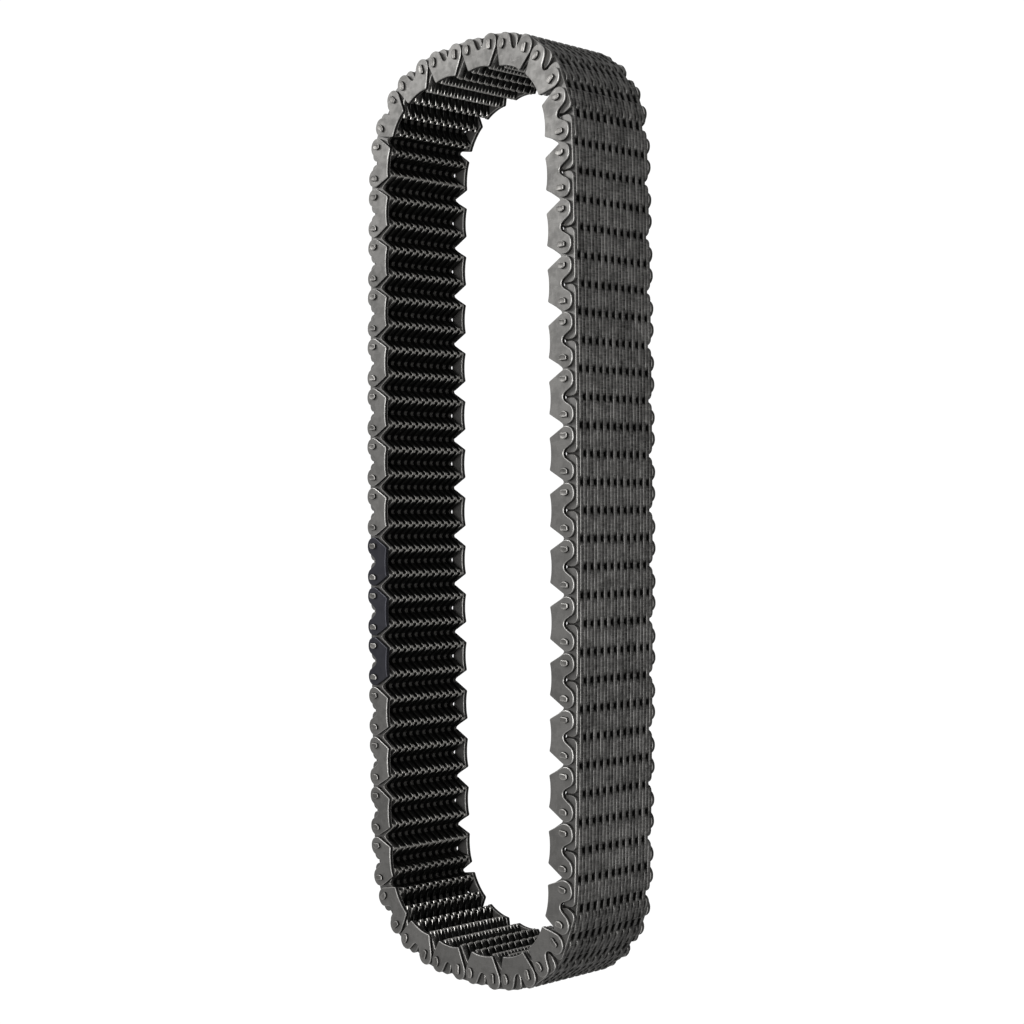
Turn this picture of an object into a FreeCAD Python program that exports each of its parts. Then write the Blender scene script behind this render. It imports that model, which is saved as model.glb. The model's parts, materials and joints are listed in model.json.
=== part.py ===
"""Silent (inverted-tooth) drive chain, as an endless loop lying flat on its side.

Axes: +X across the loop, +Y along its two straight strands, +Z along the pivots.
The origin is in the middle of the loop, level with the lower pin ends, which the chain lies on.
All sizes are millimetres and all angles are degrees.

In the section that a link shows from its side, "along" runs from the link's middle towards its
pivots and "inward" runs from the pitch line towards the sprockets.
"""

import math
import os

import FreeCAD
import Part

Vector = FreeCAD.Vector

# ---- the loop -------------------------------------------------------------------------------
PITCH = 9.525                    # from pivot to pivot, 3/8 in
QUARTER_PIVOTS = 21              # pivots from an end of the loop to the middle of a strand
CORNER_BENDS = (2.0, 7.8, 8.7, 16.5, 16.9, 15.8, 14.9, 4.9, 1.06)  # from the end of the loop
STRAND_BEND = 0.12               # at each other pivot; a quarter's bends add up to 90

# Pivots of a quarter that are joints. The others stay as they are.
TURNING_PIVOTS = (1, 3, 4, 5, 6, 7, 11, 13, 15, 17, 19, 21)

# ---- the pack of plates across the chain ------------------------------------------------------
PLATE_THICKNESS = 1.55
PLATE_GAP = 0.044                # running clearance between neighbouring plates
PLAIN_PLATES = 12                # toothed plates in a plain link; a guide link has one fewer
PIN_PROUD = 0.95                 # how far a long pin stands out of a guide plate
PIN_END_CHAMFER = 0.25

# ---- rocker pins ------------------------------------------------------------------------------
PIN_DEPTH = 2.15                 # along the chain, from the rocking face to the back
PIN_HEIGHT = 3.5                 # across the chain's side
PIN_FACE_RADIUS = 2.5            # of the rocking face
PIN_CORNER_RADIUS = 0.5
ROCKER_GAP = 0.12                # between the two rocking faces of a pivot
SEAT_CLEARANCE = 0.02            # round a pin in its own link
SWING_CLEARANCE = 0.1            # round a pin in the neighbouring link
SWING_PAST_PIVOT = 0.3           # how far the swing room runs past the pivot towards the seat

# ---- toothed plate ----------------------------------------------------------------------------
END_GAP = 0.65                   # between the ends of two plates of one row
BACK_HEIGHT = 4.1                # from the pitch line to the back
BACK_CORNER_RADIUS = 2.2
SHOULDER_HEIGHT = 0.34           # where the outer flank meets the end
SHOULDER_RADIUS = 1.5
TOOTH_HEIGHT = 8.0               # from the pitch line to the tooth tips
TOOTH_TIP_RADIUS = 0.55
OUTER_FLANK_ANGLE = 31.0         # from square to the pitch line
INNER_FLANK_ANGLE = 33.0
CROTCH_RADIUS = 0.8

# ---- guide plate ------------------------------------------------------------------------------
GUIDE_BACK_HEIGHT = 4.0
GUIDE_LOBE_RADIUS = 3.3          # outer side of each lobe
GUIDE_LOBE_INNER_RADIUS = 2.9    # side of each lobe next to the notch
GUIDE_SHOULDER_HEIGHT = 0.64
GUIDE_SHOULDER_RADIUS = 4.0
GUIDE_HEIGHT = 7.7               # from the pitch line to the inner corners
GUIDE_CORNER_RADIUS = 0.6
GUIDE_SIDE_ANGLE = 27.7
GUIDE_HOLLOW = 0.7               # how far the inner edge dips between its corners
GUIDE_NOTCH_TOP = 0.65           # bottom of the notch, inward of the pitch line
GUIDE_NOTCH_RADIUS = 2.1
GUIDE_NOTCH_ANGLE = 29.0

# ---- worked out from the values above ---------------------------------------------------------
LAYER = PLATE_THICKNESS + PLATE_GAP
LAYERS = 2 * PLAIN_PLATES + 1
TURNS = 4 * QUARTER_PIVOTS       # pivots, and links, in the whole loop
HALF_PITCH = PITCH / 2
HALF_LENGTH = PITCH - END_GAP / 2
PACK_WIDTH = LAYERS * LAYER - PLATE_GAP
FAR = 10 * PITCH                 # longer than any link
SIDE_SHARE = 0.98                # of a side that the roundings at its two ends may take
TINY = 1e-6


def tan(angle):
    return math.tan(math.radians(angle))


def rounded_wire(corners):
    """A closed wire through corners (along, inward, radius), each rounded to its radius, or to as
    much of it as its two sides have room for."""
    points = [Vector(x, y, 0) for x, y, radius in corners]
    after = [points[(i + 1) % len(points)] - point for i, point in enumerate(points)]
    halves = [(after[i - 1] * -1).getAngle(side) / 2 for i, side in enumerate(after)]
    setbacks = [corner[2] / math.tan(half) for corner, half in zip(corners, halves)]
    room = [
        SIDE_SHARE * side.Length / max(setbacks[i] + setbacks[(i + 1) % len(points)], TINY)
        for i, side in enumerate(after)
    ]
    arcs = []
    for i, (point, half) in enumerate(zip(points, halves)):
        share = min(1.0, room[i - 1], room[i])
        radius, setback = corners[i][2] * share, setbacks[i] * share
        towards = (after[i - 1] * -1).normalize()
        onwards = Vector(after[i]).normalize()
        middle = (towards + onwards).normalize()
        top = point + middle * (radius / math.sin(half) - radius)
        arcs.append(Part.Arc(point + towards * setback, top, point + onwards * setback).toShape())
    edges = []
    for arc, following in zip(arcs, arcs[1:] + arcs[:1]):
        edges += [arc, Part.LineSegment(arc.lastVertex().Point, following.firstVertex().Point).toShape()]
    return Part.Wire(edges)


def mirrored(half):
    """The corners of a symmetric outline, from those of its right half, listed from top to bottom."""
    left = [(-x, y, radius) for x, y, radius in reversed(half) if x > 0]
    return half + left


def plate_of(wire):
    """A plate of that section, lying on Z = 0."""
    return Part.Face(wire).extrude(Vector(0, 0, PLATE_THICKNESS))


def pin_wire(clearance):
    """A rocker pin's section at a pivot at the origin, on the side away from its link's middle."""
    face = ROCKER_GAP / 2 - clearance
    back = PIN_DEPTH + clearance
    half = PIN_HEIGHT / 2 + clearance
    radius = PIN_FACE_RADIUS + clearance
    drop = radius - math.sqrt(radius**2 - half**2)
    corner = PIN_CORNER_RADIUS + clearance
    slope = corner * (1 - math.sqrt(0.5))
    points = [
        Vector(face + drop, -half, 0),
        Vector(back - corner, -half, 0),
        Vector(back, corner - half, 0),
        Vector(back, half - corner, 0),
        Vector(back - corner, half, 0),
        Vector(face + drop, half, 0),
    ]
    return Part.Wire([
        Part.LineSegment(points[0], points[1]).toShape(),
        Part.Arc(points[1], Vector(back - slope, slope - half, 0), points[2]).toShape(),
        Part.LineSegment(points[2], points[3]).toShape(),
        Part.Arc(points[3], Vector(back - slope, half - slope, 0), points[4]).toShape(),
        Part.LineSegment(points[4], points[5]).toShape(),
        Part.Arc(points[5], Vector(face, 0, 0), points[0]).toShape(),
    ])


def swing_radius():
    """Reach from the pivot of the neighbour's pin, with its clearance."""
    corner = math.hypot(PIN_DEPTH - PIN_CORNER_RADIUS, PIN_HEIGHT / 2 - PIN_CORNER_RADIUS)
    return corner + PIN_CORNER_RADIUS + SWING_CLEARANCE


def both_ends(shape):
    """A shape made at a pivot at the origin, at the link's right and left pivots."""
    right = shape.copy()
    right.translate(Vector(HALF_PITCH, 0, 0))
    left = right.copy()
    left.rotate(Vector(), Vector(0, 0, 1), 180)
    return [right, left]


def toothed_plate():
    """One inverted-tooth plate, lying on Z = 0, with its two apertures."""
    lean = math.radians(OUTER_FLANK_ANGLE - INNER_FLANK_ANGLE) / 2
    half_tooth = math.radians(OUTER_FLANK_ANGLE + INNER_FLANK_ANGLE) / 2
    point = TOOTH_HEIGHT + TOOTH_TIP_RADIUS * (math.cos(lean) / math.sin(half_tooth) - 1)
    tip = HALF_LENGTH - (point - SHOULDER_HEIGHT) * tan(OUTER_FLANK_ANGLE)
    crotch = point - tip / tan(INNER_FLANK_ANGLE)
    outline = mirrored([
        (0, crotch, CROTCH_RADIUS),
        (tip, point, TOOTH_TIP_RADIUS),
        (HALF_LENGTH, SHOULDER_HEIGHT, SHOULDER_RADIUS),
        (HALF_LENGTH, -BACK_HEIGHT, BACK_CORNER_RADIUS),
    ])
    plate = plate_of(rounded_wire(outline))
    depth, height = PIN_DEPTH + SEAT_CLEARANCE, PIN_HEIGHT + 2 * SEAT_CLEARANCE
    seat = Part.makeBox(depth, height, PLATE_THICKNESS, Vector(0, -height / 2, 0))
    swing = Part.makeCylinder(swing_radius(), PLATE_THICKNESS)
    swing = swing.common(Part.makeBox(FAR, FAR, FAR, Vector(SWING_PAST_PIVOT - FAR, -FAR / 2, 0)))
    for aperture in both_ends(seat.fuse(swing).removeSplitter()):
        plate = plate.cut(aperture)
    return plate


def guide_plate():
    """One guide plate, lying on Z = 0, with a seat for each long pin."""
    inner = HALF_LENGTH - (GUIDE_HEIGHT - GUIDE_SHOULDER_HEIGHT) * tan(GUIDE_SIDE_ANGLE)
    apex = GUIDE_NOTCH_TOP + GUIDE_NOTCH_RADIUS * (1 / math.sin(math.radians(GUIDE_NOTCH_ANGLE)) - 1)
    mouth = (apex + GUIDE_BACK_HEIGHT) * tan(GUIDE_NOTCH_ANGLE)
    outline = mirrored([
        (inner, GUIDE_HEIGHT, GUIDE_CORNER_RADIUS),
        (HALF_LENGTH, GUIDE_SHOULDER_HEIGHT, GUIDE_SHOULDER_RADIUS),
        (HALF_LENGTH, -GUIDE_BACK_HEIGHT, GUIDE_LOBE_RADIUS),
        (mouth, -GUIDE_BACK_HEIGHT, GUIDE_LOBE_INNER_RADIUS),
        (0, apex, GUIDE_NOTCH_RADIUS),
    ])
    plate = plate_of(rounded_wire(outline))
    half_chord = inner - GUIDE_CORNER_RADIUS
    hollow_radius = (half_chord**2 + GUIDE_HOLLOW**2) / (2 * GUIDE_HOLLOW)
    centre = Vector(0, GUIDE_HEIGHT - GUIDE_HOLLOW + hollow_radius, 0)
    plate = plate.cut(Part.makeCylinder(hollow_radius, PLATE_THICKNESS, centre))
    for aperture in both_ends(plate_of(pin_wire(SEAT_CLEARANCE))):
        plate = plate.cut(aperture)
    return plate


def pin(length, chamfer=0.0):
    """A rocker pin at a pivot at the origin, standing on Z = 0."""
    solid = Part.Face(pin_wire(0)).extrude(Vector(0, 0, length))
    if not chamfer:
        return solid
    ends = [
        edge for edge in solid.Edges
        if edge.BoundBox.ZLength < chamfer / 2
    ]
    return solid.makeChamfer(chamfer, ends)


def raised(shape, height):
    """A copy of a shape, that much higher."""
    copy = shape.copy()
    copy.translate(Vector(0, 0, height))
    return copy


def guide_link():
    """Two guide plates, the toothed plates between them and two long pins, about the link's middle."""
    plate, guide = toothed_plate(), guide_plate()
    rows = [raised(plate, PIN_PROUD + row * LAYER) for row in range(2, LAYERS - 1, 2)]
    guides = [raised(guide, PIN_PROUD + row * LAYER) for row in (0, LAYERS - 1)]
    return guides + rows + both_ends(pin(PACK_WIDTH + 2 * PIN_PROUD, PIN_END_CHAMFER))


def plain_link():
    """The toothed plates and the two short pins of a link that has no guide plates."""
    plate = toothed_plate()
    rows = [raised(plate, PIN_PROUD + row * LAYER) for row in range(1, LAYERS, 2)]
    length = (LAYERS - 2) * LAYER - PLATE_GAP
    pins = [raised(solid, PIN_PROUD + LAYER) for solid in both_ends(pin(length))]
    return rows + pins


def place_in_quarter(pivot):
    """A pivot's number counted from the nearer end of the loop, where pivot 1 follows link 1."""
    number = (pivot - 1) % (2 * QUARTER_PIVOTS) + 1
    return min(number, 2 * QUARTER_PIVOTS + 1 - number)


def bend_at(pivot):
    number = place_in_quarter(pivot)
    return CORNER_BENDS[number - 1] if number <= len(CORNER_BENDS) else STRAND_BEND


def link_places():
    """(x, y, heading) of each link's middle, counterclockwise from the link at the -Y end."""
    x, y, heading, places = 0.0, 0.0, 0.0, []
    for link in range(1, TURNS + 1):
        places.append((x, y, heading))
        for angle in (heading, heading + bend_at(link)):
            x += HALF_PITCH * math.cos(math.radians(angle))
            y += HALF_PITCH * math.sin(math.radians(angle))
        heading += bend_at(link)
    middle = places[TURNS // 2][1] / 2
    return [(x, y - middle, heading) for x, y, heading in places]


def link_groups():
    """Lists of neighbouring links that turn as one, starting with link 1."""
    groups, group = [], []
    for link in range(1, TURNS + 1):
        group.append(link)
        if place_in_quarter(link) in TURNING_PIVOTS:
            groups.append(group)
            group = []
    return groups


def is_guide(link):
    return link % 2 == 0


def group_name(group):
    if len(group) > 1:
        return "links_{:02d}_{:02d}_run".format(group[0], group[-1])
    kind = "guide" if is_guide(group[0]) else "plain"
    return "link_{:02d}_{}".format(group[0], kind)


def main():
    os.makedirs("parts", exist_ok=True)
    kinds = {True: guide_link(), False: plain_link()}
    places = link_places()
    for group in link_groups():
        solids = []
        for link in group:
            x, y, heading = places[link - 1]
            for solid in kinds[is_guide(link)]:
                placed = solid.copy()
                placed.rotate(Vector(), Vector(0, 0, 1), heading)
                placed.translate(Vector(x, y, 0))
                solids.append(placed)
        Part.makeCompound(solids).exportStep("parts/{}.step".format(group_name(group)))


main()
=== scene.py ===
"""Looks for an endless silent (inverted-tooth) drive chain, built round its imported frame.

The chain lies flat: +X across the loop, +Y along its strands and +Z along its pins.
In a link's own section, "along" runs from its middle towards its pivots and "inward" runs
from the pitch line towards the sprockets. Sections are drawn in millimetres, and pieces are
placed in metres.
"""

import json
import logging
import math
import random
from dataclasses import dataclass, field
from enum import Enum

import bmesh
import bpy
from mathutils import Matrix, Vector

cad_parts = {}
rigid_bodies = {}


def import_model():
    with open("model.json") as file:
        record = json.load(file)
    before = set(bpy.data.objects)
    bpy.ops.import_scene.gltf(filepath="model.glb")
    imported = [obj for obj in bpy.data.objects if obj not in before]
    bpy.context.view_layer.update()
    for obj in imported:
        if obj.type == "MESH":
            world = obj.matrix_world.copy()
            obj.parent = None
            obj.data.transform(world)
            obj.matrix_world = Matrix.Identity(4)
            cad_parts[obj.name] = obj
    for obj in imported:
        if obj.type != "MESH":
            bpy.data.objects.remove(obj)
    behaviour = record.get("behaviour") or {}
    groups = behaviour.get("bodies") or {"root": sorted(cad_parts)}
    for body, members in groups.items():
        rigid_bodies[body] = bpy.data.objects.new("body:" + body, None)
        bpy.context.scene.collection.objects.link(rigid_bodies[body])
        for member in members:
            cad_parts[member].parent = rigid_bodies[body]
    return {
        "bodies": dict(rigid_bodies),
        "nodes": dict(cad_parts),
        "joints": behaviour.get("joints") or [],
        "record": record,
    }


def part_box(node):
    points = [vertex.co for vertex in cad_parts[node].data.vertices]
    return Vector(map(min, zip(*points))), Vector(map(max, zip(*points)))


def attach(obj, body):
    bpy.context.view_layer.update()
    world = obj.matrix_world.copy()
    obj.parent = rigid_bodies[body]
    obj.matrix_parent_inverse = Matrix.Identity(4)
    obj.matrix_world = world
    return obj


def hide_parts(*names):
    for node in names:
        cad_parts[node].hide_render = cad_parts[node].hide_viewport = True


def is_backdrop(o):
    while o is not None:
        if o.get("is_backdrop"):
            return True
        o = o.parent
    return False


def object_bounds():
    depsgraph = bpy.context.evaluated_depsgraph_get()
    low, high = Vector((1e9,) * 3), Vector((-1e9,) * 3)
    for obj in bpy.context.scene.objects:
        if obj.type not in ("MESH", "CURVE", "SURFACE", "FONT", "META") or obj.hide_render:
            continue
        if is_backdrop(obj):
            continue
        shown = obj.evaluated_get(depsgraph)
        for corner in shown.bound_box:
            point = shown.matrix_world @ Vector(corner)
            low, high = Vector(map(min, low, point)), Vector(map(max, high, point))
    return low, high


MM = 0.001
MERGE = 0.04                     # millimetres: points of a section nearer than this become one
LAYERS = ("along", "inward", "through", "tone", "painted_light_and_clean")  # what each vertex knows of its place
CAP_UPRIGHT = 0.999              # least Z of the normal of a face that is square to the thickness
MIX_A, MIX_B, MIX_RESULT = 6, 7, 2   # colour sockets of a Mix node
SEEN_BRIGHTNESS = 1.05           # of the floor and surroundings, where they are looked at directly
WHITE = (1.0, 1.0, 1.0, 1.0)
Colour = tuple[float, float, float]
log = logging.getLogger("chain")


# ---- shader nodes -----------------------------------------------------------------------------


class Varying:
    """A number or colour that varies over a surface. Arithmetic on it adds Math nodes."""

    def __init__(self, tree: "NodeTree", socket: bpy.types.NodeSocket) -> None:
        """Wraps one output socket of a tree."""
        self.tree = tree
        self.socket = socket

    def _math(self, operation: str, a: "Varying | float", b: "Varying | float") -> "Varying":
        """A Math node on two values."""
        return self.tree.node("ShaderNodeMath", {"operation": operation}, {0: a, 1: b})

    def __add__(self, other: "Varying | float") -> "Varying":
        """self + other"""
        return self._math("ADD", self, other)

    def __radd__(self, other: float) -> "Varying":
        """other + self"""
        return self._math("ADD", other, self)

    def __sub__(self, other: "Varying | float") -> "Varying":
        """self - other"""
        return self._math("SUBTRACT", self, other)

    def __rsub__(self, other: float) -> "Varying":
        """other - self"""
        return self._math("SUBTRACT", other, self)

    def __mul__(self, other: "Varying | float") -> "Varying":
        """self * other"""
        return self._math("MULTIPLY", self, other)

    def __rmul__(self, other: float) -> "Varying":
        """other * self"""
        return self._math("MULTIPLY", other, self)


class NodeTree:
    """The nodes of one material."""

    def __init__(self, name: str) -> None:
        """Starts a material with its Principled shader.

        Args:
            name: The material's name.
        """
        self.material = bpy.data.materials.new(name)
        self.material.use_nodes = True
        self.tree = self.material.node_tree
        self.shader = next(n for n in self.tree.nodes if n.type == "BSDF_PRINCIPLED")

    def node(self, kind: str, settings: dict, inputs: dict, output: int | str = 0) -> Varying:
        """Adds one node.

        Args:
            kind: The node's type.
            settings: Its properties, which are set first.
            inputs: Values or links for its sockets, by name or number.
            output: The output socket to give back.

        Returns:
            The output, ready for arithmetic.
        """
        made = self.tree.nodes.new(kind)
        for key, value in settings.items():
            setattr(made, key, value)
        for key, value in inputs.items():
            if isinstance(value, Varying):
                self.tree.links.new(value.socket, made.inputs[key])
            else:
                made.inputs[key].default_value = value
        return Varying(self, made.outputs[output])

    def attribute(self, name: str) -> Varying:
        """A number that the mesh holds at its corners."""
        return self.node("ShaderNodeAttribute", {"attribute_name": name}, {}, "Fac")

    def place(self) -> Varying:
        """The point on the piece, in metres."""
        return self.node("ShaderNodeTexCoord", {}, {}, "Object")

    def stretched(self, vector: Varying, scale: Colour, turn: float = 0.0) -> Varying:
        """Coordinates turned about Z and scaled along each axis."""
        turned = {"Scale": scale, "Rotation": (0.0, 0.0, math.radians(turn))}
        return self.node("ShaderNodeMapping", {}, {"Vector": vector, **turned}, "Vector")

    def noise(self, vector: Varying, scale: float, detail: float = 3.0,
              rough: float = 0.55) -> Varying:
        """Cloudy noise from 0 to 1."""
        sockets = {"Vector": vector, "Scale": scale, "Detail": detail, "Roughness": rough}
        return self.node("ShaderNodeTexNoise", {}, sockets, "Fac")

    def between(self, value: Varying, low: float, high: float) -> Varying:
        """0 where value is below low and 1 above high, with a smooth rise between."""
        sockets = {"Value": value, "From Min": low, "From Max": high}
        return self.node("ShaderNodeMapRange", {"interpolation_type": "SMOOTHSTEP"}, sockets)

    def blended(self, factor: Varying, a: "Varying | Colour", b: "Varying | Colour") -> Varying:
        """Blends two colours.

        Args:
            factor: 0 for the first colour and 1 for the second.
            a: The first colour.
            b: The second colour.

        Returns:
            The blended colour.
        """
        ends = {socket: colour if isinstance(colour, Varying) else (*colour, 1.0)
                for socket, colour in ((MIX_A, a), (MIX_B, b))}
        settings = {"data_type": "RGBA", "clamp_factor": True}
        return self.node("ShaderNodeMix", settings, {0: factor, **ends}, MIX_RESULT)

    def shaded(self, factor: Varying, colour: Varying) -> Varying:
        """Makes a colour lighter or darker.

        Args:
            factor: What to multiply the colour by.
            colour: The colour.

        Returns:
            The product.
        """
        grey = self.node("ShaderNodeCombineColor", {}, {0: factor, 1: factor, 2: factor})
        settings = {"data_type": "RGBA", "blend_type": "MULTIPLY"}
        inputs = {0: 1.0, MIX_A: colour, MIX_B: grey}
        return self.node("ShaderNodeMix", settings, inputs, MIX_RESULT)

    def feed(self, socket: str, value: "Varying | float") -> None:
        """Links a varying value to the shader's socket, or sets a number on it.

        Args:
            socket: The socket's name.
            value: What it takes.
        """
        if isinstance(value, Varying):
            self.tree.links.new(value.socket, self.shader.inputs[socket])
        else:
            self.shader.inputs[socket].default_value = value


# ---- finishes ---------------------------------------------------------------------------------

FINE_GRAIN = 2600.0              # noise cells in a metre
CLOUDS = 260.0
PATCH_EDGE = (0.38, 0.68)        # noise values between which stain sets in
SHEAR_LINES = 1.7                # noise cells in a millimetre of a section
SHEAR_EDGE = (0.3, 0.7)
SHEAR_BAND = (0.25, 0.6)         # part of the thickness over which the sheared band fades
PLATES_APART = 90.0              # how far apart in the noise two plates' lines are taken
SCRATCH_EDGE = (0.62, 0.74)
SCRATCHES = (                    # turn in degrees, and noise cells in a metre along each axis
    (24.0, (5200.0, 260.0, 260.0)),
    (-52.0, (240.0, 4600.0, 240.0)),
)
CROTCH_ALONG = (0.9, 0.4)        # square of the distance along, over which the crotch lightens
CROTCH_INWARD = (2.1, 2.6)       # distance inward, over which the crotch lightens
PAINTED_LIGHT_AND_CLEAN_SHARE = 0.9                # how much of its painted light and oil-free colour a top-row plate takes


class Zone(Enum):
    """The parts of a stamped plate's or a pin's surface, with the number of each one's material."""

    FACE = 0
    RIM = 1
    WALL = 2


@dataclass(frozen=True)
class Steel:
    """A steel surface: mottled, marked, stained with old oil, worn where it runs, and painted with
    shade and light.

    Attributes:
        name: The material's name.
        colour: Its bare colour.
        stain: Its colour in stained patches.
        painted_shade_and_oil: Its colour where it lies deep in the pack: painted shade, with dark
            oil.
        worn: Its colour where it is rubbed bright.
        metallic: How metallic it is.
        roughness: Its mean roughness.
        tone_spread: How much lighter or darker one plate is than another.
        painted_shade_and_oil_span: Distances inward between which it turns to the painted shade and
            oil colour.
        wears: Distances inward between which it turns to the worn colour.
        painted_light_and_clean: Its colour on a top-row plate: painted light, and free of oil.
        crotch: How much of the worn colour shows in the crotch between two teeth.
        streaks: How strongly the shear marks show.
        mottle: How strongly the stain shows.
        scratches: How strongly the scratches show.
        bump: The strength of the relief.
        bump_depth: The depth of the relief in metres.
    """

    name: str
    colour: Colour
    stain: Colour
    painted_shade_and_oil: Colour = (0.01, 0.01, 0.01)
    worn: Colour = (0.55, 0.53, 0.5)
    metallic: float = 0.85
    roughness: float = 0.42
    tone_spread: float = 0.25
    painted_shade_and_oil_span: tuple[float, float] | None = None
    wears: tuple[float, float] | None = None
    painted_light_and_clean: Colour | None = None
    crotch: float = 0.0
    streaks: float = 0.0
    mottle: float = 0.5
    scratches: float = 0.0
    bump: float = 0.25
    bump_depth: float = 0.00003

    def material(self) -> bpy.types.Material:
        """Builds the material.

        Returns:
            The finished material.
        """
        tree = NodeTree(self.name)
        place = tree.place()
        tone = tree.attribute("tone")
        fine = tree.noise(place, FINE_GRAIN, 4.0, 0.62)
        cloud = tree.noise(place, CLOUDS, 3.0, 0.6)
        patch = tree.between(cloud, *PATCH_EDGE)
        colour = tree.blended(patch * self.mottle, self.colour, self.stain)
        light = 1.0 + (tone - 0.5) * (2.0 * self.tone_spread) + (fine - 0.5) * 0.45
        height = fine * 0.6
        roughness = self.roughness + (cloud - 0.5) * 0.22 + (fine - 0.5) * 0.18
        if self.streaks:
            drawn = self._shear_marks(tree, tone)
            light = light + (drawn - 0.5) * (2.0 * self.streaks)
            height = height + drawn
        if self.scratches:
            marks = self._scratch_marks(tree, place)
            light = light + marks * self.scratches
            roughness = roughness - marks * 0.08
        colour = tree.shaded(light, colour)
        inward = tree.attribute("inward")
        # Painted shade, with dark oil: the plates darken towards the inner side and deep in the
        # pack, and the top rows are spared it.
        if self.painted_shade_and_oil_span:
            depth = tree.between(inward + (cloud - 0.5) * 0.8, *self.painted_shade_and_oil_span)
            colour = tree.blended(depth * (1.0 - tree.attribute("painted_light_and_clean")), colour, self.painted_shade_and_oil)
        # Painted light on the top rows, which are also free of oil.
        if self.painted_light_and_clean:
            colour = tree.blended(tree.attribute("painted_light_and_clean") * PAINTED_LIGHT_AND_CLEAN_SHARE, colour, self.painted_light_and_clean)
        if self.crotch:
            along = tree.attribute("along")
            near = tree.between(along * along, *CROTCH_ALONG) * tree.between(inward, *CROTCH_INWARD)
            colour = tree.blended(near * self.crotch, colour, self.worn)
        if self.wears:
            contact = tree.between(inward + (fine - 0.5) * 1.7, *self.wears)
            colour = tree.blended(contact, colour, self.worn)
            roughness = roughness - contact * 0.12
        tree.feed("Base Color", colour)
        tree.feed("Metallic", self.metallic)
        tree.feed("Roughness", roughness)
        bumped = {"Height": height, "Strength": self.bump, "Distance": self.bump_depth}
        tree.feed("Normal", tree.node("ShaderNodeBump", {}, bumped, "Normal"))
        return tree.material

    def _shear_marks(self, tree: NodeTree, tone: Varying) -> Varying:
        """Fine lines through the thickness, as a punch leaves on an edge.

        Args:
            tree: The material's nodes.
            tone: The plate's own number, which sets its lines apart from the others'.

        Returns:
            How light the marks are, from 0 to 1.
        """
        sockets = {0: tree.attribute("along"), 1: tree.attribute("inward"), 2: tone * PLATES_APART}
        section = tree.node("ShaderNodeCombineXYZ", {}, sockets)
        lines = tree.noise(section, SHEAR_LINES, 3.0, 0.7)
        band = tree.between(tree.attribute("through"), *SHEAR_BAND)
        return tree.between(lines, *SHEAR_EDGE) * 0.6 + band * 0.4

    def _scratch_marks(self, tree: NodeTree, place: Varying) -> Varying:
        """Short hairline scratches in two directions.

        Args:
            tree: The material's nodes.
            place: The point on the piece.

        Returns:
            Where the scratches are.
        """
        marks = None
        for turn, stretch in SCRATCHES:
            drawn_out = tree.stretched(place, stretch, turn)
            lines = tree.between(tree.noise(drawn_out, 1.0, 2.0), *SCRATCH_EDGE)
            marks = lines if marks is None else marks + lines
        return marks


@dataclass(frozen=True)
class PlateFinish:
    """The three finishes of a stamped plate or a pin."""

    face: Steel
    rim: Steel
    wall: Steel

    def materials(self) -> list[bpy.types.Material]:
        """The materials, in the order of Zone."""
        return [self.face.material(), self.rim.material(), self.wall.material()]


# The dark colours that set in inward are painted shade, with dark oil, between the plates and on
# the chain's inner side.
LINK_FINISH = PlateFinish(
    face=Steel("link_face_steel", (0.15, 0.147, 0.143), (0.07, 0.068, 0.066), scratches=0.25,
               painted_shade_and_oil=(0.02, 0.02, 0.019), painted_shade_and_oil_span=(-4.3, -3.1), roughness=0.45,
               # The clean colours of face and rim are painted light on the top rows, which are also
               # free of oil.
               painted_light_and_clean=(0.26, 0.255, 0.246)),
    rim=Steel("link_rim_steel", (0.19, 0.186, 0.18), (0.06, 0.059, 0.056), roughness=0.4,
              painted_shade_and_oil=(0.024, 0.024, 0.023), painted_shade_and_oil_span=(-3.6, -1.2), worn=(0.95, 0.93, 0.885),
              wears=(6.4, 7.6), painted_light_and_clean=(0.66, 0.645, 0.62), mottle=0.9, streaks=0.3),
    wall=Steel("link_edge_steel", (0.128, 0.125, 0.12), (0.052, 0.051, 0.049), streaks=0.8,
               painted_shade_and_oil=(0.013, 0.013, 0.012), painted_shade_and_oil_span=(-3.6, -2.4), wears=(7.4, 8.0), roughness=0.45,
               worn=(0.44, 0.428, 0.406), crotch=0.4),
)
GUIDE_FINISH = PlateFinish(
    face=Steel("guide_face_steel", (0.262, 0.256, 0.246), (0.178, 0.174, 0.167), scratches=0.3,
               metallic=0.8, roughness=0.48, tone_spread=0.12, mottle=0.75),
    rim=Steel("guide_rim_steel", (0.62, 0.61, 0.59), (0.36, 0.35, 0.335), roughness=0.36,
              tone_spread=0.15),
    # The guide edge's dark inward colour is painted shade, with dark oil.
    wall=Steel("guide_edge_steel", (0.075, 0.073, 0.07), (0.03, 0.029, 0.028), streaks=0.4,
               painted_shade_and_oil=(0.03, 0.029, 0.028), painted_shade_and_oil_span=(-2.0, 1.0)),
)
MARKED_FINISH = PlateFinish(
    face=Steel("marked_face_steel", (0.052, 0.052, 0.063), (0.032, 0.032, 0.041), scratches=0.3,
               metallic=0.6, roughness=0.42, tone_spread=0.1, mottle=0.6),
    rim=Steel("marked_rim_steel", (0.09, 0.09, 0.105), (0.05, 0.05, 0.06), roughness=0.38),
    wall=Steel("marked_edge_steel", (0.03, 0.03, 0.036), (0.015, 0.015, 0.019), streaks=0.3),
)
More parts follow.
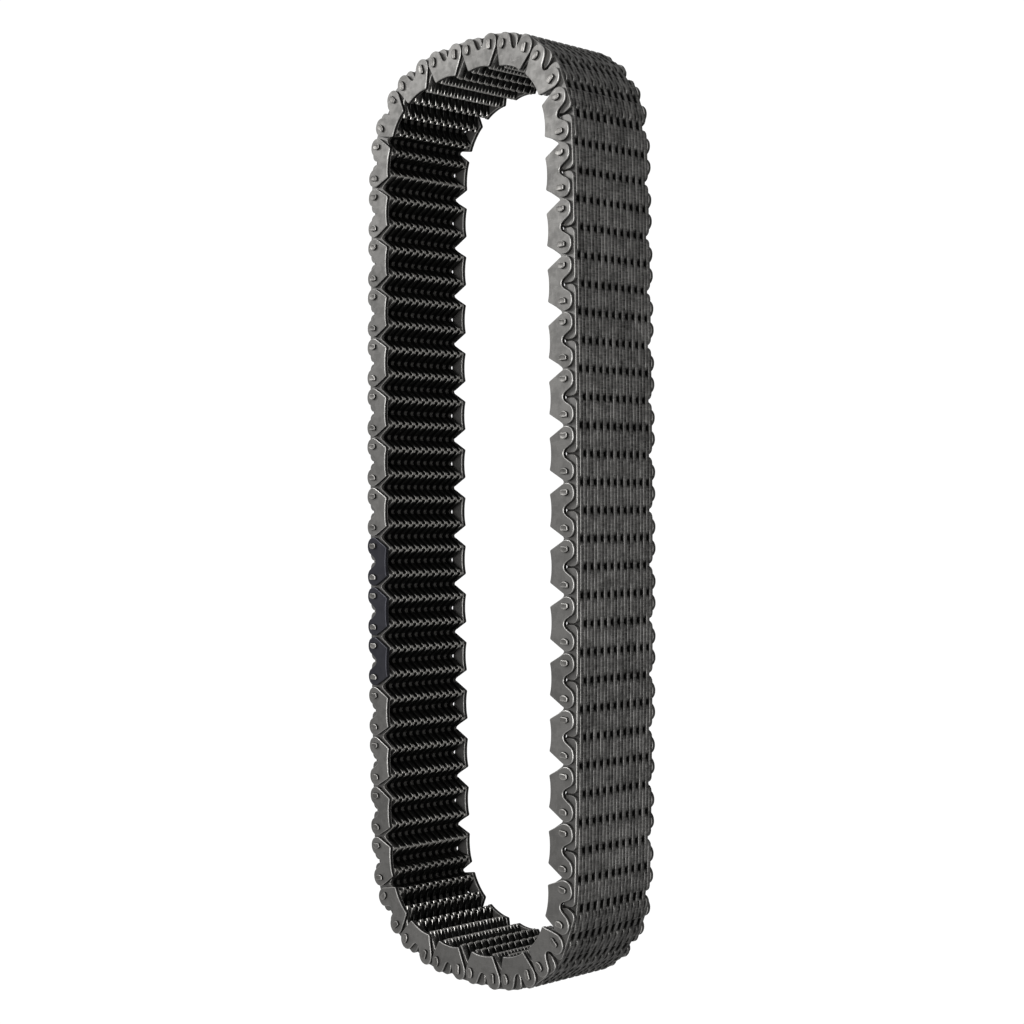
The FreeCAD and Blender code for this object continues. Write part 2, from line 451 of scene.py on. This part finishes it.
# The pin sides are painted near black: painted shadow beside the proud pin ends, with dark oil.
PIN_FINISH = PlateFinish(
    face=Steel("pin_end_steel", (0.34, 0.33, 0.315), (0.16, 0.156, 0.148), roughness=0.4,
               scratches=0.3, mottle=0.8),
    rim=Steel("pin_rim_steel", (0.6, 0.585, 0.56), (0.3, 0.293, 0.28), roughness=0.36),
    wall=Steel("pin_side_painted_shadow_and_oil", (0.016, 0.016, 0.015), (0.008, 0.008, 0.008), metallic=0.5,
               roughness=0.55),
)


# ---- sections and templates -------------------------------------------------------------------


@dataclass(frozen=True)
class Corner:
    """One corner of a section, rounded to a radius in a number of steps."""

    along: float
    inward: float
    radius: float = 0.0
    steps: int = 1


def mirrored(half: list[Corner]) -> list[Corner]:
    """A whole symmetric section from its right half.

    Args:
        half: Corners from the inner side to the outer side, with along at or above 0.

    Returns:
        All corners, in order round the section.
    """
    left = [Corner(-c.along, c.inward, c.radius, c.steps) for c in reversed(half) if c.along > 0]
    return half + left


def turned_half(corners: list[Corner]) -> list[Corner]:
    """The same corners, half a turn about the origin."""
    return [Corner(-c.along, -c.inward, c.radius, c.steps) for c in corners]


def add_section(mesh: bmesh.types.BMesh, corners: list[Corner]) -> None:
    """Adds one face with its corners rounded.

    Args:
        mesh: The mesh to add to.
        corners: The section's corners in order.
    """
    verts = [mesh.verts.new((c.along, c.inward, 0.0)) for c in corners]
    mesh.faces.new(verts)
    points = [v.co.copy() for v in verts]
    for i, (corner, vert) in enumerate(zip(corners, verts)):
        if not corner.radius:
            continue
        before = points[i - 1] - points[i]
        after = points[(i + 1) % len(points)] - points[i]
        offset = corner.radius / math.tan(before.angle(after) / 2)
        bmesh.ops.bevel(mesh, geom=[vert], offset=offset, offset_type="OFFSET",
                        segments=corner.steps, profile=0.5, affect="VERTICES",
                        clamp_overlap=False, material=-1)


def flat_blank(outline: list[Corner], holes: list[list[Corner]]) -> bmesh.types.BMesh:
    """A flat face with holes.

    Args:
        outline: The outer corners.
        holes: The corners of each hole.

    Returns:
        A mesh in the plane Z = 0.
    """
    mesh = bmesh.new()
    for corners in (outline, *holes):
        add_section(mesh, corners)
    bmesh.ops.remove_doubles(mesh, verts=mesh.verts, dist=MERGE)
    if holes:
        bmesh.ops.delete(mesh, geom=mesh.faces[:], context="FACES_ONLY")
        bmesh.ops.triangle_fill(mesh, use_beauty=True, use_dissolve=True, edges=mesh.edges[:],
                                normal=(0.0, 0.0, 1.0))
    return mesh


def is_cap(face: bmesh.types.BMFace) -> bool:
    """Whether a face is square to the thickness."""
    return abs(face.normal.z) > CAP_UPRIGHT


def is_round_pin(edge: bmesh.types.BMEdge, seat: float, reach: float) -> bool:
    """Whether an edge lies round one of the two pins, within reach of its seat's middle."""
    middle = (edge.verts[0].co + edge.verts[1].co) / 2
    return math.hypot(abs(middle.x) - seat, middle.y) < reach


def thicken(mesh: bmesh.types.BMesh, height: float, rim: float, steps: int,
            seat: float = 0.0, reach: float = 0.0) -> None:
    """Gives a flat blank its thickness and breaks the outer edges of its two faces.

    Args:
        mesh: The blank.
        height: Its thickness.
        rim: The width of the broken edges.
        steps: The number of facets across a broken edge.
        seat: How far along the middle of each pin's hole is.
        reach: Edges this near to a hole's middle stay sharp.
    """
    raised = bmesh.ops.extrude_face_region(mesh, geom=mesh.faces[:])["geom"]
    lifted = [g for g in raised if isinstance(g, bmesh.types.BMVert)]
    bmesh.ops.translate(mesh, verts=lifted, vec=(0.0, 0.0, height))
    bmesh.ops.recalc_face_normals(mesh, faces=mesh.faces)
    for face in mesh.faces:
        face.material_index = Zone.FACE.value if is_cap(face) else Zone.WALL.value
    edges = [e for e in mesh.edges
             if sum(is_cap(f) for f in e.link_faces) == 1 and not is_round_pin(e, seat, reach)]
    bmesh.ops.bevel(mesh, geom=edges, offset=rim, offset_type="OFFSET", segments=steps,
                    profile=0.5, affect="EDGES", clamp_overlap=False, material=Zone.RIM.value)
    bmesh.ops.recalc_face_normals(mesh, faces=mesh.faces)


def as_template(mesh: bmesh.types.BMesh, name: str, smooth_below: float) -> bpy.types.Mesh:
    """Stores each vertex's place in the section and turns the bmesh into a mesh.

    Args:
        mesh: The finished shape, which is freed.
        name: The mesh's name.
        smooth_below: Facets that meet at less than this angle, in degrees, shade as one.

    Returns:
        The mesh to copy into pieces.
    """
    layers = {key: mesh.verts.layers.float.new(key) for key in LAYERS}
    top = max(v.co.z for v in mesh.verts)
    for vert in mesh.verts:
        vert[layers["along"]] = vert.co.x
        vert[layers["inward"]] = vert.co.y
        vert[layers["through"]] = vert.co.z / top
    template = bpy.data.meshes.new(name)
    mesh.to_mesh(template)
    mesh.free()
    template.shade_smooth()
    template.set_sharp_from_angle(angle=math.radians(smooth_below))
    return template


@dataclass(frozen=True)
class ToothedPlate:
    """An inverted-tooth plate: two teeth with a crotch between them, and two pin apertures."""

    half_pitch: float
    thickness: float = 1.55
    half_length: float = 9.2
    tooth_height: float = 8.0
    tip_along: float = 4.3
    tip_radius: float = 0.55
    outer_flank: float = 31.0
    inner_flank: float = 33.0
    crotch_radius: float = 0.8
    shoulder: float = 0.34
    shoulder_radius: float = 1.5
    back: float = 4.1
    back_radius: float = 2.2
    seat_depth: float = 2.17
    seat_half_height: float = 1.77
    swing_radius: float = 2.67
    swing_past: float = 0.3
    swing_rounding: float = 0.85     # share of the swing space's radius that its corners take
    sharp_reach: float = 2.9         # edges this near a seat's middle aren't broken
    rim: float = 0.13
    smooth_below: float = 25.0

    def outline(self) -> list[Corner]:
        """The outer corners, with the teeth as sharp points that the rounding brings down.

        Returns:
            The corners in order.
        """
        lean = math.radians(self.outer_flank - self.inner_flank) / 2
        half_tooth = math.radians(self.outer_flank + self.inner_flank) / 2
        drop = self.tip_radius * (math.cos(lean) / math.sin(half_tooth) - 1)
        point = self.tooth_height + drop
        tip = self.half_length - (point - self.shoulder) * math.tan(math.radians(self.outer_flank))
        crotch = point - tip / math.tan(math.radians(self.inner_flank))
        return mirrored([
            Corner(0.0, crotch, self.crotch_radius, 2),
            Corner(tip, point, self.tip_radius, 2),
            Corner(self.half_length, self.shoulder, self.shoulder_radius, 1),
            Corner(self.half_length, -self.back, self.back_radius, 4),
        ])

    def aperture(self) -> list[Corner]:
        """The right aperture: a square seat outside the pivot and a swing space inside it.

        Returns:
            The corners in order.
        """
        swing_top = math.sqrt(self.swing_radius**2 - self.swing_past**2)
        x, past, far = self.half_pitch, self.half_pitch + self.swing_past, self.seat_depth
        round_off = self.swing_rounding * self.swing_radius
        return [
            Corner(x + far, -self.seat_half_height), Corner(x + far, self.seat_half_height),
            Corner(past, self.seat_half_height), Corner(past, swing_top),
            Corner(x - self.swing_radius, swing_top, round_off, 2),
            Corner(x - self.swing_radius, -swing_top, round_off, 2),
            Corner(past, -swing_top), Corner(past, -self.seat_half_height),
        ]

    def template(self) -> bpy.types.Mesh:
        """The plate, lying on Z = 0.

        Returns:
            The mesh.
        """
        right = self.aperture()
        mesh = flat_blank(self.outline(), [right, turned_half(right)])
        thicken(mesh, self.thickness, self.rim, 1, self.half_pitch, self.sharp_reach)
        return as_template(mesh, "toothed_plate", self.smooth_below)


@dataclass(frozen=True)
class RockerPin:
    """A pin with one curved rocking face, on the pivot's side, and a square back."""

    depth: float = 2.15
    half_height: float = 1.75
    face_radius: float = 2.5
    corner_radius: float = 0.5
    gap: float = 0.12
    rim: float = 0.22
    dish: float = 0.07
    dish_inset: float = 0.28
    smooth_below: float = 21.0

    def section(self, clearance: float = 0.0, steps: int = 6) -> list[Corner]:
        """The corners about a pivot at the origin, on the side away from its link's middle.

        Args:
            clearance: How far the section is grown all round.
            steps: The number of facets of the rocking face.

        Returns:
            The corners in order.
        """
        face, back = self.gap / 2 - clearance, self.depth + clearance
        half, radius = self.half_height + clearance, self.face_radius + clearance
        spread = math.asin(half / radius)
        edge = face + radius - math.sqrt(radius**2 - half**2)
        meet = face + radius - radius / math.cos(spread)
        rounding = self.corner_radius + clearance
        return [
            Corner(back, -half, rounding, 3), Corner(back, half, rounding, 3), Corner(edge, half),
            Corner(meet, 0.0, 0.995 * radius, steps), Corner(edge, -half),
        ]

    def placed(self, half_pitch: float, clearance: float) -> list[Corner]:
        """The section at a link's right pivot, grown by a clearance."""
        grown = self.section(clearance)
        return [Corner(c.along + half_pitch, c.inward, c.radius, c.steps) for c in grown]

    def template(self, half_pitch: float, length: float) -> bpy.types.Mesh:
        """A pin at a link's right pivot, standing on Z = 0, with broken edges and dished ends.

        Args:
            half_pitch: From the link's middle to its pivot.
            length: The pin's length.

        Returns:
            The mesh.
        """
        mesh = flat_blank(self.placed(half_pitch, 0.0), [])
        thicken(mesh, length, self.rim, 2)
        ends = [f for f in mesh.faces if is_cap(f)]
        for end in ends:
            bmesh.ops.inset_region(mesh, faces=[end], thickness=self.dish_inset, depth=-self.dish)
        return as_template(mesh, "rocker_pin", self.smooth_below)


@dataclass(frozen=True)
class GuidePlate:
    """A side plate with two lobes round its pins, a notch between them and a hollow inner edge."""

    half_pitch: float
    pin: RockerPin
    thickness: float = 1.55
    half_length: float = 9.2
    height: float = 7.7
    side_angle: float = 27.7
    corner_radius: float = 0.6
    hollow: float = 0.7
    hollow_inset: float = 1.1        # left between the hollow and the inner corners' rounding
    shoulder: float = 0.64
    shoulder_radius: float = 4.0
    back: float = 4.0
    lobe_radius: float = 3.3
    lobe_inner_radius: float = 2.9
    notch_top: float = 0.65
    notch_radius: float = 2.1
    notch_angle: float = 29.0
    pin_clearance: float = 0.07
    sharp_reach: float = 2.6         # edges this near a pin's middle aren't broken
    rim: float = 0.24
    smooth_below: float = 21.0

    def outline(self) -> list[Corner]:
        """The outer corners. The hollow is one wide corner between the two inner ones.

        Returns:
            The corners in order.
        """
        side, notch = math.radians(self.side_angle), math.radians(self.notch_angle)
        inner = self.half_length - (self.height - self.shoulder) * math.tan(side)
        apex = self.notch_top + self.notch_radius * (1 / math.sin(notch) - 1)
        mouth = (apex + self.back) * math.tan(notch)
        reach = math.hypot(inner, 2 * self.hollow) - self.hollow_inset
        dip = reach * inner / (2 * self.hollow)
        return mirrored([
            Corner(0.0, self.height - 2 * self.hollow, dip, 10),
            Corner(inner, self.height, self.corner_radius, 4),
            Corner(self.half_length, self.shoulder, self.shoulder_radius, 5),
            Corner(self.half_length, -self.back, self.lobe_radius, 9),
            Corner(mouth, -self.back, self.lobe_inner_radius, 7),
            Corner(0.0, apex, self.notch_radius, 9),
        ])

    def template(self) -> bpy.types.Mesh:
        """The plate, lying on Z = 0.

        Returns:
            The mesh.
        """
        right = self.pin.placed(self.half_pitch, self.pin_clearance)
        mesh = flat_blank(self.outline(), [right, turned_half(right)])
        seat = self.half_pitch + self.pin.depth / 2
        thicken(mesh, self.thickness, self.rim, 2, seat, self.sharp_reach)
        return as_template(mesh, "guide_plate", self.smooth_below)


# ---- the chain --------------------------------------------------------------------------------


@dataclass(frozen=True)
class Link:
    """One link's place in the loop."""

    number: int
    middle: Vector
    heading: float

    @property
    def is_guide(self) -> bool:
        """Even links carry the guide plates and the long pins."""
        return self.number % 2 == 0


@dataclass
class Chain:
    """The endless chain: rows of toothed plates, guide plates outside, rocker pins through."""

    frame: dict
    rows: int = 25
    plate_gap: float = 0.044
    rigid_bends: tuple[tuple[int, float], ...] = ((2, 7.8), (8, 4.9), (9, 1.06))
    strand_bend: float = 0.12
    marked_links: tuple[int, ...] = (66, 68, 70)
    # Top rows that take painted light and lose the painted shade, being also free of oil:
    painted_light_and_clean_rows: tuple[tuple[int, float], ...] = ((2, 1.0), (3, 0.45))  # counted from the top
    seed: int = 11
    tone_rng: random.Random = field(init=False)

    def __post_init__(self) -> None:
        """Reads the pivots and the heights of the rows from the frame, and makes the templates."""
        self.tone_rng = random.Random(self.seed)
        self.pivots = {int(joint["name"].split("_")[1]): Vector(joint["pos_m"])
                       for joint in self.frame["joints"]}
        self.count = max(self.pivots)
        self._add_open_pivot()
        names = sorted(self.frame["record"]["behaviour"]["bodies"])
        plain = next(n for n in names if n.endswith("_plain"))
        guide = next(n for n in names if n.endswith("_guide"))
        short_low, short_high = (corner.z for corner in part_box(plain))
        long_low, long_high = (corner.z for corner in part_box(guide))
        self.row_height = (short_high - short_low + self.plate_gap * MM) / (self.rows - 2)
        self.lowest_row = short_low - self.row_height
        self.pitch = (self.pivots[1] - self.pivots[self.count]).length
        half_pitch = self.pitch / 2 / MM
        self.short_pin_base, self.long_pin_base = short_low, long_low
        pin = RockerPin()
        self.plate = ToothedPlate(half_pitch).template()
        self.guide = GuidePlate(half_pitch, pin).template()
        self.long_pin = pin.template(half_pitch, (long_high - long_low) / MM)
        self.short_pin = pin.template(half_pitch, (short_high - short_low) / MM)
        self.link_materials = LINK_FINISH.materials()
        self.guide_materials = GUIDE_FINISH.materials()
        self.marked_materials = MARKED_FINISH.materials()
        self.pin_materials = PIN_FINISH.materials()

    def _add_open_pivot(self) -> None:
        """The loop is open at one pivot in the middle, which mirrors the one before it."""
        number = self.count // 2 + 1
        before = self.pivots[number - 1]
        self.pivots[number] = Vector((-before.x, before.y, before.z))

    def _rigid_bend(self, pivot: int) -> float:
        """How far the chain bends, in radians, at a pivot that isn't a joint.

        Args:
            pivot: The pivot's number.

        Returns:
            The bend, which is the same at the four pivots of one place in a quarter of the loop.
        """
        half = self.count // 2
        place = (pivot - 1) % half + 1
        nearest = min(place, half + 1 - place)
        return math.radians(dict(self.rigid_bends).get(nearest, self.strand_bend))

    def links_of(self, body: str) -> list[Link]:
        """The links that a body is made of, from its name and the pivots at its two ends.

        Args:
            body: The body's name, which holds the numbers of its first and last links.

        Returns:
            Its links in order.
        """
        numbers = [int(word) for word in body.split("_") if word.isdigit()]
        start = self.pivots[(numbers[0] - 2) % self.count + 1]
        span = self.pivots[numbers[-1]] - start
        run, heading, spot = [], 0.0, Vector()
        for number in range(numbers[0], numbers[-1] + 1):
            step = Vector((math.cos(heading), math.sin(heading), 0.0)) * self.pitch
            run.append((number, spot + step / 2, heading))
            spot += step
            heading += self._rigid_bend(number)
        turn = math.atan2(span.y, span.x) - math.atan2(spot.y, spot.x)
        about = Matrix.Rotation(turn, 3, "Z")
        return [Link(number, start + about @ middle, heading + turn)
                for number, middle, heading in run]

    def _add_copy(self, mesh: bmesh.types.BMesh, template: bpy.types.Mesh, link: Link, base: float,
                  half_turn: bool = False, painted_light_and_clean: float = 0.0) -> None:
        """Adds one copy of a template to a piece, with a tone of its own.

        Args:
            mesh: The piece.
            template: What to copy.
            link: The link that it belongs to.
            base: The height of its lower face.
            half_turn: Whether it belongs at the link's other pivot.
            painted_light_and_clean: How much painted light it takes, which also lifts its painted
                shade, and how free of oil it is, from 0 to 1.
        """
        first = len(mesh.verts)
        mesh.from_mesh(template)
        mesh.verts.ensure_lookup_table()
        added = mesh.verts[first:]
        heading = link.heading + (math.pi if half_turn else 0.0)
        turn = Matrix.Rotation(heading, 4, "Z") @ Matrix.Scale(MM, 4)
        place = Matrix.Translation((link.middle.x, link.middle.y, base))
        bmesh.ops.transform(mesh, matrix=place @ turn, verts=added)
        values = {"tone": self.tone_rng.random(), "painted_light_and_clean": painted_light_and_clean}
        for key, value in values.items():
            layer = mesh.verts.layers.float[key]
            for vert in added:
                vert[layer] = value

    def _finish(self, mesh: bmesh.types.BMesh, name: str, body: str,
                materials: list[bpy.types.Material]) -> bpy.types.Object:
        """Turns a bmesh into a piece that rides on its body.

        Args:
            mesh: The piece's shape, which is freed.
            name: The piece's name.
            body: The body that it moves with.
            materials: Its materials, in the order of Zone.

        Returns:
            The piece.
        """
        data = bpy.data.meshes.new(name)
        mesh.to_mesh(data)
        mesh.free()
        for material in materials:
            data.materials.append(material)
        piece = bpy.data.objects.new(name, data)
        bpy.context.scene.collection.objects.link(piece)
        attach(piece, body)
        log.info("%s: %d faces on %s", name, len(data.polygons), body)
        return piece

    def _row_base(self, row: int) -> float:
        """The height of a row's lower face."""
        return self.lowest_row + row * self.row_height

    def build_plates(self, body: str) -> bpy.types.Object:
        """The toothed plates of a body, which stand for its CAD node.

        Args:
            body: The body's name.

        Returns:
            The piece.
        """
        mesh = bmesh.new()
        for link in self.links_of(body):
            rows = range(2, self.rows - 1, 2) if link.is_guide else range(1, self.rows, 2)
            for row in rows:
                # The top rows take painted light and are spared the painted shade.
                painted_light_and_clean = dict(self.painted_light_and_clean_rows).get(self.rows - row, 0.0)
                self._add_copy(mesh, self.plate, link, self._row_base(row), painted_light_and_clean=painted_light_and_clean)
        piece = self._finish(mesh, f"{body}_plates", body, self.link_materials)
        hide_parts(body)
        return piece

    def build_guides(self, body: str) -> list[bpy.types.Object]:
        """The lower and upper guide plates of a body's guide links.

        Args:
            body: The body's name.

        Returns:
            The pieces.
        """
        made = []
        for link in self.links_of(body):
            if not link.is_guide:
                continue
            marked = link.number in self.marked_links
            for side, row in (("lower", 0), ("upper", self.rows - 1)):
                dark = marked and side == "upper"
                mesh = bmesh.new()
                self._add_copy(mesh, self.guide, link, self._row_base(row))
                materials = self.marked_materials if dark else self.guide_materials
                name = f"link_{link.number:02d}_{side}_guide"
                made.append(self._finish(mesh, name, body, materials))
        return made

    def build_pins(self, body: str) -> bpy.types.Object:
        """The pins of a body: a long pair in each guide link and a short pair in each plain one.

        Args:
            body: The body's name.

        Returns:
            The piece.
        """
        mesh = bmesh.new()
        for link in self.links_of(body):
            template = self.long_pin if link.is_guide else self.short_pin
            base = self.long_pin_base if link.is_guide else self.short_pin_base
            for half_turn in (False, True):
                self._add_copy(mesh, template, link, base, half_turn)
        return self._finish(mesh, f"{body}_pins", body, self.pin_materials)

    def build(self) -> None:
        """Builds every piece."""
        for body in sorted(self.frame["bodies"]):
            self.build_plates(body)
            self.build_guides(body)
            self.build_pins(body)


# ---- the studio -------------------------------------------------------------------------------


@dataclass(frozen=True)
class SoftBox:
    """A large soft lamp that looks at a point."""

    name: str
    place: Colour
    size: float
    power: float
    look_at: Colour = (0.0, 0.0, 0.02)

    def build(self) -> None:
        """Adds the lamp."""
        light = bpy.data.lights.new(self.name, "AREA")
        light.shape, light.size, light.energy = "SQUARE", self.size, self.power
        lamp = bpy.data.objects.new(self.name, light)
        bpy.context.scene.collection.objects.link(lamp)
        lamp.location = self.place
        towards = Vector(self.look_at) - Vector(self.place)
        lamp.rotation_mode = "QUATERNION"
        lamp.rotation_quaternion = towards.to_track_quat("-Z", "Y")


@dataclass(frozen=True)
class Studio:
    """Pale floor, soft lamps, pale surroundings and the camera."""

    floor_size: float = 30.0
    stand: Colour = (0.455524, -0.002363, 0.423586)
    forward: Colour = (-0.7462, 0.00334, -0.66572)
    up: Colour = (0.00524, 0.99999, -0.00085)
    lens: float = 58.267
    sensor: float = 36.0
    surroundings: float = 0.22
    floor_tones: tuple[Colour, Colour] = ((0.4, 0.4, 0.4), (0.37, 0.37, 0.37))
    lamps: tuple[SoftBox, ...] = (
        SoftBox("overhead_lamp", (0.45, 0.1, 1.5), 1.3, 17.0),
        SoftBox("side_lamp", (1.5, -0.5, 0.7), 0.9, 8.0),
        SoftBox("far_lamp", (-0.9, 0.6, 1.0), 0.6, 4.0),
    )

    def build(self, floor_height: float) -> None:
        """Adds everything.

        Args:
            floor_height: The height that the chain lies on.
        """
        self._floor(floor_height)
        self._surroundings()
        for lamp in self.lamps:
            lamp.build()
        self._camera()

    def _floor(self, height: float) -> None:
        """A plain white floor, which doesn't show the object's shadow.

        Args:
            height: The floor's height.
        """
        mesh = bmesh.new()
        bmesh.ops.create_grid(mesh, x_segments=1, y_segments=1, size=self.floor_size / 2)
        bmesh.ops.translate(mesh, verts=mesh.verts, vec=(0.0, 0.0, height))
        data = bpy.data.meshes.new("floor")
        mesh.to_mesh(data)
        mesh.free()
        floor = bpy.data.objects.new("floor", data)
        bpy.context.scene.collection.objects.link(floor)
        tree = NodeTree("pale_floor")
        cloud = tree.noise(tree.place(), 3.0) * 0.2
        tree.feed("Base Color", tree.blended(cloud, *self.floor_tones))
        tree.feed("Roughness", 0.9)
        seen = tree.node("ShaderNodeLightPath", {}, {}, "Is Camera Ray")
        glow = tree.node("ShaderNodeEmission", {}, {"Color": WHITE, "Strength": SEEN_BRIGHTNESS})
        mixed = tree.node("ShaderNodeMixShader", {}, {0: seen, 2: glow})
        tree.tree.links.new(tree.shader.outputs["BSDF"], mixed.socket.node.inputs[1])
        output = next(n for n in tree.tree.nodes if n.type == "OUTPUT_MATERIAL")
        tree.tree.links.new(mixed.socket, output.inputs["Surface"])
        data.materials.append(tree.material)
        floor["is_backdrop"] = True

    def _surroundings(self) -> None:
        """Even pale surroundings."""
        world = bpy.data.worlds.new("surroundings")
        world.use_nodes = True
        nodes, links = world.node_tree.nodes, world.node_tree.links
        background = next(n for n in nodes if n.type == "BACKGROUND")
        background.inputs["Color"].default_value = WHITE
        path = nodes.new("ShaderNodeLightPath")
        strength = nodes.new("ShaderNodeMix")
        strength.inputs[2].default_value = self.surroundings
        strength.inputs[3].default_value = SEEN_BRIGHTNESS
        links.new(path.outputs["Is Camera Ray"], strength.inputs[0])
        links.new(strength.outputs[0], background.inputs["Strength"])
        bpy.context.scene.world = world

    def _camera(self) -> None:
        """The camera, turned so that the chain's strands run up and down the picture."""
        data = bpy.data.cameras.new("camera")
        data.lens, data.sensor_width = self.lens, self.sensor
        data.clip_start, data.clip_end = 0.01, 50.0
        camera = bpy.data.objects.new("camera", data)
        bpy.context.scene.collection.objects.link(camera)
        back = -Vector(self.forward).normalized()
        right = Vector(self.up).cross(back).normalized()
        up = back.cross(right)
        turn = Matrix((right, up, back)).transposed().to_4x4()
        camera.matrix_world = Matrix.Translation(Vector(self.stand)) @ turn
        bpy.context.scene.camera = camera


def main() -> None:
    """Builds the chain and the studio round the frame."""
    logging.basicConfig(level=logging.INFO, format="%(name)s: %(message)s")
    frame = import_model()
    cad_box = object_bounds()
    scene = bpy.context.scene
    scene.view_settings.view_transform = "Standard"
    scene.view_settings.look = "None"
    Chain(frame).build()
    Studio().build(cad_box[0].z)


if __name__ == "__main__":
    main()
